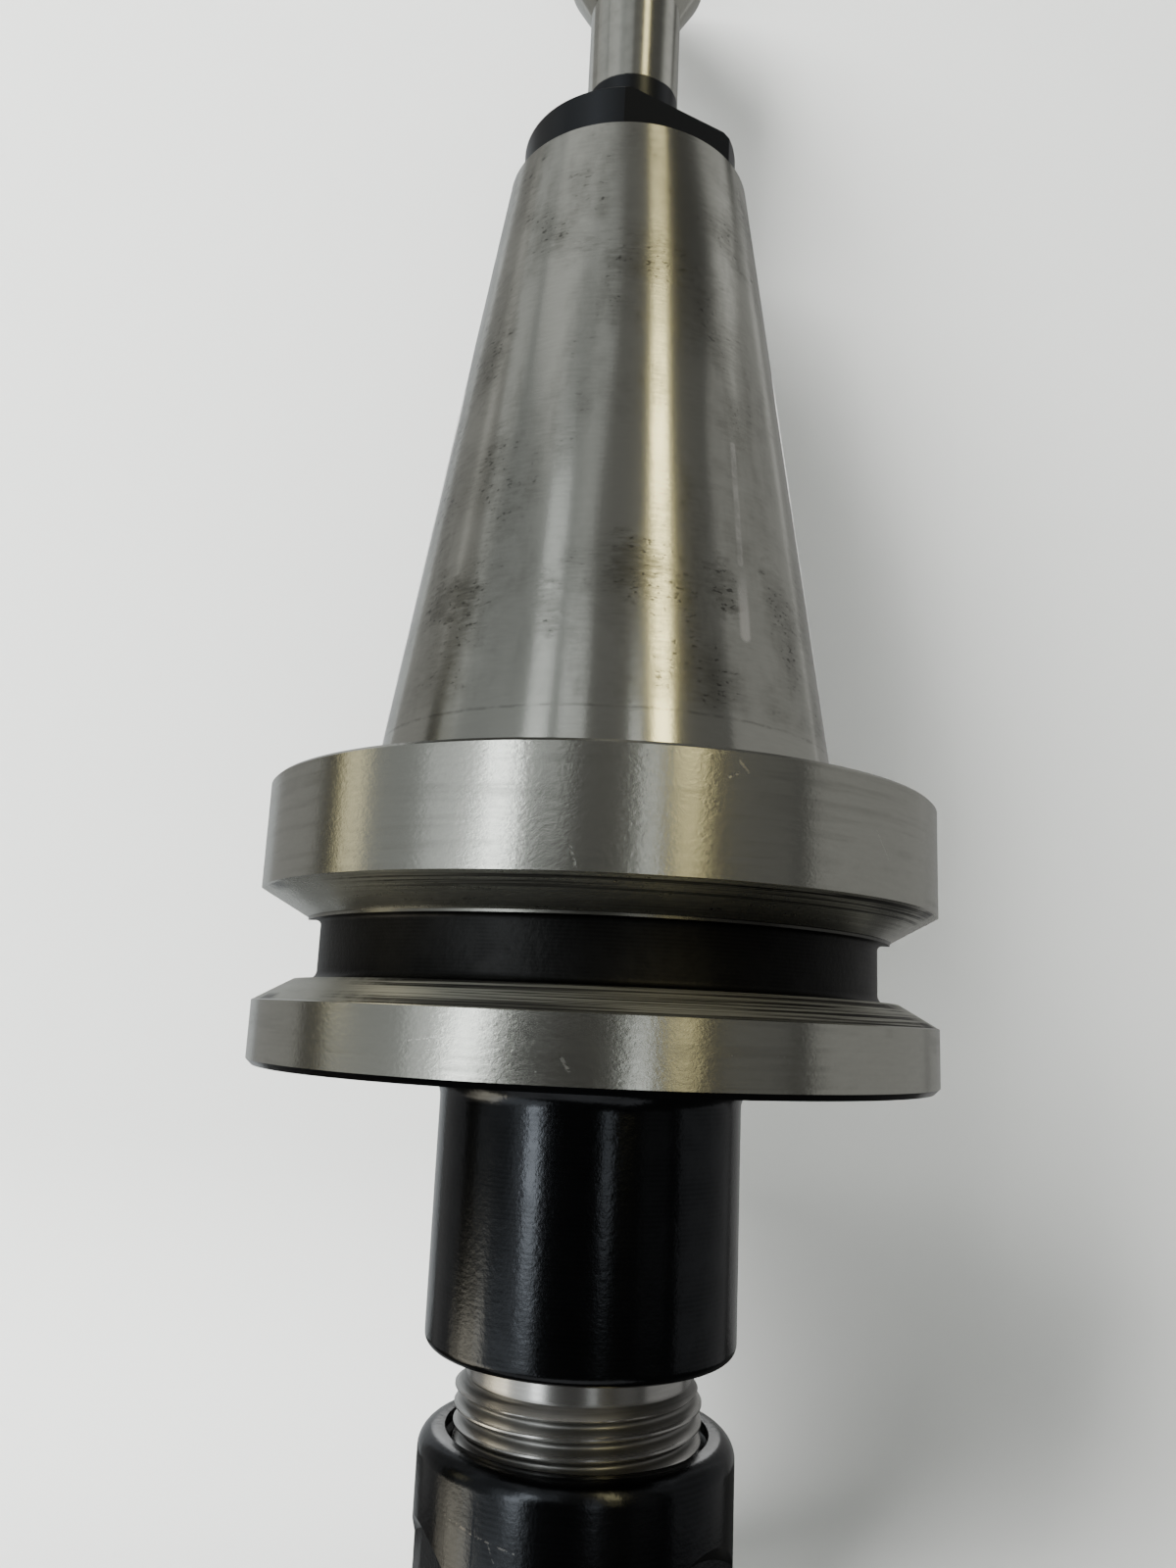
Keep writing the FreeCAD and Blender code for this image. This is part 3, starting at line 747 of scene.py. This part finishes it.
def milled(piece, cutter, count=1, first_angle=0.0):
    """Takes a pattern of cutters out of a piece, leaving the cutter's finish, and removes the cutter."""
    tree = milling_tree()
    steel = cutter.data.materials[0]
    mark = cutter.data.attributes.new("milled", "BOOLEAN", "FACE")
    mark.data.foreach_set("value", [True] * len(cutter.data.polygons))
    modifier = piece.modifiers.new("Milled pattern", "NODES")
    modifier.node_group = tree
    values = {"Cutter": cutter, "Count": count, "First angle": first_angle, "Finish": steel}
    for item in tree.interface.items_tree:
        if item.name in values:
            modifier[item.identifier] = values[item.name]
    bpy.context.view_layer.update()
    graph = bpy.context.evaluated_depsgraph_get()
    result = piece.evaluated_get(graph)
    made = bpy.data.meshes.new_from_object(result, preserve_all_data_layers=True, depsgraph=graph)
    piece.modifiers.remove(modifier)
    piece.data = made
    bpy.data.objects.remove(cutter)


def finished(piece, node, body):
    """Smooths a piece between its edges and lets it stand for its CAD node."""
    piece.data.shade_smooth()
    piece.data.set_sharp_from_angle(angle=SHARP_EDGE)
    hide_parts(node)
    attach(piece, body)


def finish(name):
    return bpy.data.materials[name]


# Lights and room

COOL = (0.93, 0.98, 1.0)
NEUTRAL = (1.0, 1.0, 0.98)
WARM = (1.0, 0.88, 0.46)
LAMP = (1.0, 0.91, 0.70)
# Name, azimuth, elevation, width and height in degrees, radiance and tint
SOFTBOXES = (
    ("window", -62, 6, 60, 52, 0.25, COOL),
    ("window_glow", -50, 2, 18, 40, 0.45, COOL),
    ("window_core", -33.5, 13, 10, 18, 4.6, COOL),
    ("window_core_low", -37.5, 0, 10, 9, 4.0, COOL),
    ("window_core_high", -37, 32, 10, 22, 0.6, COOL),
    ("window_sill", -42.5, -12, 10, 16, 5.0, COOL),
    ("window_edge", -19.5, 21, 12, 29, 0.5, COOL),
    ("window_high", -54, 48, 58, 32, 0.24, COOL),
    ("window_low", -60, -30, 44, 20, 1.0, COOL),
    ("tube_left", -88, 10, 11, 18, 0.88, WARM),
    ("lamp_left_low", -88, -31, 20, 22, 4.0, LAMP),
    ("lamp_left_wing", -104, -31, 12, 22, 1.6, LAMP),
    ("strip_right", 12.5, 6, 6, 50, 0.8, COOL),
    ("strip_low", 11, -10, 7, 14, 0.7, COOL),
    ("tube_right", 24.5, 6, 9, 26, 0.95, WARM),
    ("tube_right_high", 26, 34, 7.6, 30, 6.0, WARM),
    ("tube_right_top", 28, 60, 9, 22, 1.0, WARM),
    ("haze", 0, 36, 34, 68, 0.055, NEUTRAL),
    ("haze_high", 2, 48, 44, 40, 0.05, NEUTRAL),
    ("wall_right", 48, 14, 24, 70, 0.08, NEUTRAL),
    ("side_right", 98, 12, 64, 76, 0.24, NEUTRAL),
    ("side_left", -122, 14, 36, 76, 0.24, NEUTRAL),
    ("side_left_high", -94, 46, 22, 40, 0.2, NEUTRAL),
    ("ceiling", 20, 80, 90, 26, 0.3, NEUTRAL),
    ("room_low", -20, -64, 76, 30, 0.55, NEUTRAL),
    ("back_left", -157, 16, 34, 70, 0.5, COOL),
    ("back_low", -158, -40, 22, 34, 0.26, COOL),
    ("back_right", 150, 16, 40, 70, 0.22, NEUTRAL),
    ("back_table", 180, 24, 36, 22, 2.2, NEUTRAL),
)
KEY = ("key", -52, 32, 36, 36, 27.0, NEUTRAL)
LIGHT_DISTANCE = 0.7
ROOM_LIGHT = (0.05, 0.05, 0.048, 1)
ROOM_SEEN = (1.1, 1.1, 1.08, 1)
BACKDROP_BEND = 0.03
BACKDROP_TOP = 0.3
HALF_WIDTH = 1.6
FLOOR_FRONT = -0.75


def softbox(name, azimuth, elevation, wide, tall, radiance, tint, reflected=True):
    """Rectangular light that faces the origin. Its place and extent are in degrees as seen from there."""
    a, e = math.radians(azimuth), math.radians(elevation)
    away = Vector((math.sin(a) * math.cos(e), -math.cos(a) * math.cos(e), math.sin(e)))
    light = bpy.data.lights.new(name, "AREA")
    light.shape = "RECTANGLE"
    light.size = 2 * LIGHT_DISTANCE * math.tan(math.radians(wide) / 2)
    light.size_y = 2 * LIGHT_DISTANCE * math.tan(math.radians(tall) / 2)
    light.energy = radiance * math.pi * light.size * light.size_y
    light.color = tint
    lamp = bpy.data.objects.new(name, light)
    lamp.location = away * LIGHT_DISTANCE
    lamp.rotation_mode = "QUATERNION"
    lamp.rotation_quaternion = away.to_track_quat("Z", "Y")
    lamp.visible_camera = False
    lamp.visible_glossy = reflected
    lamp.visible_diffuse = not reflected
    bpy.context.scene.collection.objects.link(lamp)


# Operators

class CHUCK_OT_finishes(bpy.types.Operator):
    """Makes the finishes of all the pieces"""

    bl_idname = "chuck.finishes"
    bl_label = "Make finishes"

    def execute(self, context):
        colours = context.scene.chuck_finishes
        ground_steel(colours)
        stud_steel(colours)
        black_oxide("oxide_neck", colours.oxide, 0.14, 0.40, 0.0007)
        black_oxide("oxide_nut", colours.oxide, 0.17, 0.45, 0.0018, scratch=NUT_SCRATCH)
        black_oxide("oxide_dull", colours.oxide_dull, 0.40, 0.30, 0.0010, blasted=0.012)
        bright_steel("bright_nose", colours.bright, 0.22, painted_root_shade=1.0)
        bright_steel("spring_steel", colours.spring, 0.24)
        return {"FINISHED"}


class CHUCK_OT_holder_body(bpy.types.Operator):
    """Turns the holder body, cuts its thread and mills its drive slots"""

    bl_idname = "chuck.holder_body"
    bl_label = "Make holder body"

    def execute(self, context):
        s = context.scene.chuck_holder
        low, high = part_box("holder_body")
        top, nose_end, flange = high.z, low.z, high.y
        chamfer = s.end_chamfer
        rear = -s.flange_setback
        front = rear - s.flange_width
        wall = math.tan(s.groove_wall)
        upper, lower = -s.groove_centre + s.groove_mouth / 2, -s.groove_centre - s.groove_mouth / 2
        root_top = -s.groove_centre - s.root_shift + s.root_width / 2
        root_bottom = root_top - s.root_width
        root = s.root_diameter / 2
        land_top = root_top + s.groove_land
        land = flange - (upper - land_top) / wall
        upper_in, upper_down = root + s.upper_corner, root_top - s.upper_corner
        lower_in, lower_up = root + s.lower_corner, root_bottom + s.lower_corner
        neck, fillet, shoulder = s.neck_diameter / 2, s.neck_fillet, s.neck_round
        neck_low = shoulder - s.neck_end
        crest = s.thread_diameter / 2
        relief = crest - s.relief_depth
        relief_end = -s.neck_end - s.relief_length
        nose = (
            (relief, relief_end),
            (crest, relief_end - s.relief_depth),
            (crest, nose_end + s.nose_chamfer),
            (crest - s.nose_chamfer, nose_end),
        )
        bore, tapped, pilot = s.bore_diameter / 2, s.tapped_diameter / 2, s.pilot_diameter / 2
        seat = s.seat_diameter / 2
        seat_inner = seat - (-s.seat_end - nose_end) * math.tan(s.seat_slope)
        drilled = s.tapped_end - (tapped - bore) / math.tan(DRILL_POINT)
        ground, black, dull, bright = range(4)

        def shank(height):
            return (s.gauge_diameter - height * s.taper) / 2

        section = [
            (bright, [(pilot + chamfer, top)]),
            (black, [(shank(top) - chamfer, top)]),
            (ground, [(shank(top - chamfer), top - chamfer), (shank(rear), rear)]),
            (black, [(flange - s.rear_chamfer, rear)]),
            (ground, [(flange, rear - s.rear_chamfer), (flange, upper)]),
            (ground, [(land, land_top), (land, root_top)]),
            (dull, [(upper_in, root_top)]),
            (dull, arc((upper_in, upper_down), (upper_in, root_top), (root, upper_down))),
            (dull, [(root, lower_up)]),
            (dull, arc((lower_in, lower_up), (root, lower_up), (lower_in, root_bottom))),
            (dull, [(flange - (root_bottom - lower) / wall, root_bottom)]),
            (ground, [(flange, lower), (flange, front + s.front_chamfer)]),
            (black, [(flange - s.front_chamfer, front), (neck + fillet, front)]),
            (black, arc((neck + fillet, front - fillet), (neck + fillet, front), (neck, front - fillet), 10)),
            (black, [(neck, neck_low)]),
            (black, arc((neck - shoulder, neck_low), (neck, neck_low), (neck - shoulder, -s.neck_end), 8)),
            (bright, [(relief, -s.neck_end), nose[0]]),
            (None, [nose[-1]]),
            (bright, [(seat, nose_end), (seat_inner, -s.seat_end), (bore, -s.seat_end)]),
            (bright, [(bore, drilled), (tapped, s.tapped_end)]),
            (bright, [(tapped, top - s.pilot_depth), (pilot, top - s.pilot_depth), (pilot, top - chamfer)]),
        ]
        mesh = turned(section, filler=thread_rows(s, nose, bright))
        finishes = [finish(n) for n in ("ground_shank", "oxide_neck", "oxide_dull", "bright_nose")]
        piece = as_object("holder_dressed", mesh, finishes)
        half = s.slot_width / 2
        reach = flange + half
        rim = math.sqrt(flange ** 2 - half ** 2) - s.slot_chamfer
        side = [(s.slot_floor, half), (rim, half), (reach, half + reach - rim)]
        outline = side + [(x, -y) for x, y in reversed(side)]
        over = s.slot_chamfer
        ends = [[(x, y, z) for x, y in outline] for z in (front - over, rear + over)]
        milled(piece, loft("slot_cutter", *ends, finish("oxide_dull")), 2)
        finished(piece, "holder_body", "holder")
        return {"FINISHED"}


class CHUCK_OT_pull_stud(bpy.types.Operator):
    """Turns the pull stud and mills its wrench flats"""

    bl_idname = "chuck.pull_stud"
    bl_label = "Make pull stud"

    def execute(self, context):
        s = context.scene.chuck_stud
        low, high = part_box("pull_stud")
        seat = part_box("holder_body")[1].z
        top, bottom, collar = high.z, low.z, high.x
        head, neck, round_ = s.head_diameter / 2, s.neck_diameter / 2, s.neck_fillet
        head_edge = seat + s.head_edge
        collar_top, chamfer = seat + s.collar_width, s.collar_chamfer
        pilot, shank, step = s.pilot_diameter / 2, s.shank_diameter / 2, seat - s.pilot_length
        points = [(0, top), (head - s.head_chamfer, top)]
        points += arc((head - s.head_chamfer, top - s.head_chamfer), points[-1], (head, top - s.head_chamfer))
        points += [(head, head_edge), (neck, head_edge - (head - neck) / math.tan(s.head_slope))]
        points += [(neck, collar_top + round_)]
        points += arc((neck + round_, collar_top + round_), points[-1], (neck + round_, collar_top))
        points += [(collar - chamfer, collar_top), (collar, collar_top - chamfer), (collar, seat + chamfer)]
        points += [(collar - chamfer, seat), (pilot, seat), (pilot, step), (shank, step)]
        points += [(shank, bottom + s.head_chamfer), (shank - s.head_chamfer, bottom), (0, bottom)]
        steel = finish("two_tone_stud")
        piece = as_object("stud_dressed", turned([(0, points)], 192), [steel])
        flat = s.across_flats / 2
        corners = (flat, -collar, seat), (2 * collar - flat, collar, collar_top + round_)
        milled(piece, box_cutter("flat_cutter", *corners, steel), 2, s.flat_angle)
        finished(piece, "pull_stud", "holder")
        return {"FINISHED"}


class CHUCK_OT_clamping_nut(bpy.types.Operator):
    """Turns the clamping nut and mills its flats and the off-centre lip"""

    bl_idname = "chuck.clamping_nut"
    bl_label = "Make clamping nut"

    def execute(self, context):
        s = context.scene.chuck_nut
        low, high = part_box("clamping_nut")
        front, rear = low.z, high.z
        outer, bore, counterbore = s.diameter / 2, s.bore_diameter / 2, s.counterbore_diameter / 2
        lip_rear = rear - s.bore_depth
        lip_front = lip_rear - s.lip_thickness
        chamber_end = lip_front - s.chamber_depth
        lip = s.lip_radius - 1.5 * s.lip_offset
        round_ = s.rear_round
        points = [(counterbore, rear), (counterbore, rear - s.counterbore_depth)]
        points += [(bore, rear - s.counterbore_depth - (counterbore - bore)), (bore, lip_rear)]
        points += [(lip, lip_rear), (lip, lip_front), (s.chamber_radius, lip_front)]
        points += [(s.chamber_radius, chamber_end), (s.cone_radius, chamber_end)]
        points += [(s.mouth_radius, front + s.mouth_depth)]
        points += [(s.mouth_radius, front + s.mouth_chamfer), (s.mouth_radius + s.mouth_chamfer, front)]
        points += [(outer - s.front_chamfer, front), (outer, front + s.front_chamfer), (outer, rear - round_)]
        points += arc((outer - round_, rear - round_), (outer, rear - round_), (outer - round_, rear), 10)
        steel = finish("oxide_nut")
        piece = as_object("nut_dressed", turned([(0, points)]), [steel])
        flat = s.across_flats / 2
        deep = 2 * (outer - flat)
        centre = Vector((flat, 0, front + s.flat_length - s.arch_radius))
        far = centre + Vector((deep, 0, 0))
        arch = s.arch_radius
        cutter = round_cutter("flat_cutter", centre, far, arch, arch + deep, steel, 160)
        milled(piece, cutter, s.flats, s.flat_angle)
        near = Vector((0, -s.lip_offset, lip_front))
        far = Vector((0, -s.lip_offset, lip_rear))
        milled(piece, round_cutter("lip_cutter", near, far, s.lip_radius, s.lip_radius, steel))
        finished(piece, "clamping_nut", "nut")
        return {"FINISHED"}


class CHUCK_OT_collet(bpy.types.Operator):
    """Turns the spring collet and cuts its slits from both ends"""

    bl_idname = "chuck.collet"
    bl_label = "Make collet"

    def execute(self, context):
        s = context.scene.chuck_collet
        low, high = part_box("collet")
        front, rear = low.z, high.z
        face, rim, groove = s.face_diameter / 2, s.rim_diameter / 2, s.groove_diameter / 2
        widest, bore, edge = s.diameter / 2, s.bore_diameter / 2, s.edge
        groove_front, groove_rear, seat = front + s.groove_start, front + s.groove_end, front + s.seat_start
        slope = math.tan(s.taper)
        rear_radius = widest - (rear - seat) * slope
        points = [(bore + edge, front), (face - edge, front), (face, front + edge), (rim, front + s.cone_end)]
        points += [(rim, groove_front), (groove, groove_front), (groove, groove_rear)]
        points += [(widest - edge, groove_rear), (widest, groove_rear + edge), (widest, seat)]
        points += [(rear_radius + edge * slope, rear - edge)]
        points += [(rear_radius - edge, rear), (bore + edge, rear), (bore, rear - edge), (bore, front + edge)]
        steel = finish("spring_steel")
        piece = as_object("collet_dressed", turned([(0, points)], 160), [steel])
        half, over, reach = s.slit_width / 2, s.edge, s.diameter
        spans = (
            (front - over, rear - s.slit_bridge, 0.0),
            (seat + s.slit_width, rear + over, FULL_TURN / s.slits / 2),
        )
        for start, end, first_angle in spans:
            cutter = box_cutter("slit_cutter", (0, -half, start), (reach, half, end), steel)
            milled(piece, cutter, s.slits, first_angle)
        finished(piece, "collet", "collet")
        return {"FINISHED"}


class CHUCK_OT_stage(bpy.types.Operator):
    """Makes the floor, the backdrop, the lights and the camera"""

    bl_idname = "chuck.stage"
    bl_label = "Make stage"

    def execute(self, context):
        s = context.scene.chuck_stage
        self.backdrop(context, s)
        for row in SOFTBOXES:
            softbox(*row)
        softbox(*KEY, reflected=False)
        self.room(context)
        self.camera(context, s)
        return {"FINISHED"}

    def backdrop(self, context, s):
        floor = CAD_BOUNDS[0].z
        lean = s.backdrop_lean
        wall = CAD_BOUNDS[1].y + s.wall_gap - floor * math.tan(lean)
        reach = BACKDROP_BEND / math.tan(math.pi / 4 - lean / 2)
        start = (wall - reach, floor)
        end = (wall - reach * math.sin(lean), floor + reach * math.cos(lean))
        path = [(FLOOR_FRONT, floor), start, *arc((start[0], floor + BACKDROP_BEND), start, end, 12)]
        path += [(wall - (BACKDROP_TOP - floor) * math.tan(lean), BACKDROP_TOP)]
        mesh = bmesh.new()
        rows = [[mesh.verts.new((x, y, z)) for x in (-HALF_WIDTH, HALF_WIDTH)] for y, z in path]
        for (a, b), (c, d) in zip(rows, rows[1:]):
            mesh.faces.new((a, b, d, c))
        sheet = as_object("backdrop", mesh, [backdrop_paint(context.scene.chuck_finishes)])
        sheet.data.shade_smooth()
        sheet.visible_glossy = False
        sheet.visible_shadow = False

    def room(self, context):
        world = bpy.data.worlds.new("room")
        context.scene.world = world
        world.use_nodes = True
        nodes, links = world.node_tree.nodes, world.node_tree.links
        background = nodes["Background"]
        ray = nodes.new("ShaderNodeLightPath")
        seen = nodes.new("ShaderNodeMix")
        seen.data_type = "RGBA"
        seen.inputs[6].default_value = ROOM_LIGHT
        seen.inputs[7].default_value = ROOM_SEEN
        links.new(ray.outputs["Is Camera Ray"], seen.inputs[0])
        links.new(seen.outputs[2], background.inputs["Color"])

    def camera(self, context, s):
        data = bpy.data.cameras.new("camera")
        data.lens = s.focal_length
        data.sensor_width = 36
        data.clip_start = 0.005
        camera = bpy.data.objects.new("camera", data)
        context.scene.collection.objects.link(camera)
        place = Vector((0, -s.camera_distance, s.camera_height))
        place.rotate(Matrix.Rotation(s.camera_side, 3, "Z"))
        heading = Matrix.Rotation(-s.camera_pan, 4, "Z")
        pitch = Matrix.Rotation(math.pi / 2 + s.camera_pitch, 4, "X")
        roll = Matrix.Rotation(s.camera_roll, 4, "Z")
        camera.matrix_world = Matrix.Translation(place) @ heading @ pitch @ roll
        context.scene.camera = camera


class CHUCK_PT_panel(bpy.types.Panel):
    """Lists the pieces and their sizes"""

    bl_idname = "CHUCK_PT_panel"
    bl_label = "Collet chuck holder"
    bl_space_type = "VIEW_3D"
    bl_region_type = "UI"
    bl_category = "Holder"

    def draw(self, context):
        for operator in OPERATORS:
            self.layout.operator(operator.bl_idname)
        for name in GROUPS:
            box = self.layout.box()
            box.label(text=name.replace("_", " "))
            group = getattr(context.scene, name)
            for key in group.__annotations__:
                box.prop(group, key)


GROUPS = {
    "chuck_holder": HolderSizes,
    "chuck_stud": StudSizes,
    "chuck_nut": NutSizes,
    "chuck_collet": ColletSizes,
    "chuck_finishes": Finishes,
    "chuck_stage": StageSettings,
}
OPERATORS = (
    CHUCK_OT_finishes,
    CHUCK_OT_holder_body,
    CHUCK_OT_pull_stud,
    CHUCK_OT_clamping_nut,
    CHUCK_OT_collet,
    CHUCK_OT_stage,
)


def register():
    for kind in (*GROUPS.values(), *OPERATORS, CHUCK_PT_panel):
        bpy.utils.register_class(kind)
    for name, kind in GROUPS.items():
        setattr(bpy.types.Scene, name, PointerProperty(type=kind))


def unregister():
    for name in GROUPS:
        delattr(bpy.types.Scene, name)
    for kind in reversed((*GROUPS.values(), *OPERATORS, CHUCK_PT_panel)):
        bpy.utils.unregister_class(kind)


def main():
    register()
    bpy.ops.chuck.finishes()
    bpy.ops.chuck.stage()
    bpy.ops.chuck.holder_body()
    bpy.ops.chuck.pull_stud()
    bpy.ops.chuck.clamping_nut()
    bpy.ops.chuck.collet()


if __name__ == "__main__":
    main()
